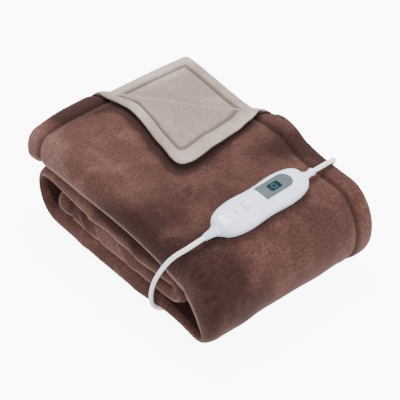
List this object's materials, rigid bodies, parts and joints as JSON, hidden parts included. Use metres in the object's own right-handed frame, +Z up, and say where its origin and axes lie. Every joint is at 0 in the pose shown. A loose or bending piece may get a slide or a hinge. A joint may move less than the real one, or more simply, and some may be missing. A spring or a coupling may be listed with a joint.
{
  "type": "electric heated blanket",
  "caption": "Plush electric heated blanket folded into a soft stack, pale lining turned back at a corner, with its slide-switch hand controller, leads, coil and plug.",
  "frame": {"origin": "on the surface the stack lies on, under the middle of the folded stack", "axes": "+Z up from the surface, +Y along the stack from its smooth front wrap to the open back, +X from the folded edges at the left to the hemmed edges at the right"},
  "size_m": [0.3208, 0.5441, 0.1774],
  "materials": {
    "dark_plush": "short dense plush, brown",
    "light_plush": "short dense plush, beige grey",
    "housing": "glossy white",
    "window": "smooth grey film",
    "screen": "dark glossy display",
    "knob": "white",
    "lead": "white flexible sheath",
    "tie": "pale band",
    "plug": "white moulded",
    "pin": "plated metal"
  },
  "bodies": {
    "blanket": {"blanket_outer": "dark_plush", "blanket_lining": "light_plush", "controller_upper": "housing", "controller_lower": "housing", "controller_window": "window", "controller_screen": "screen", "blanket_lead_relief": "housing", "mains_lead_relief": "housing", "blanket_lead": "lead", "mains_lead": "lead", "mains_coil": "lead", "coil_tie": "tie", "plug_tail": "lead", "plug_body": "plug", "plug_pin_1": "pin", "plug_pin_2": "pin"},
    "switch": {"controller_knob": "knob"}
  },
  "joints": [
    {"name": "switch_slide", "type": "slide", "parent": "blanket", "child": "switch", "axis": [0.9994, 0.0349, 0], "range_m": [-0.012, 0.012]}
  ]
}
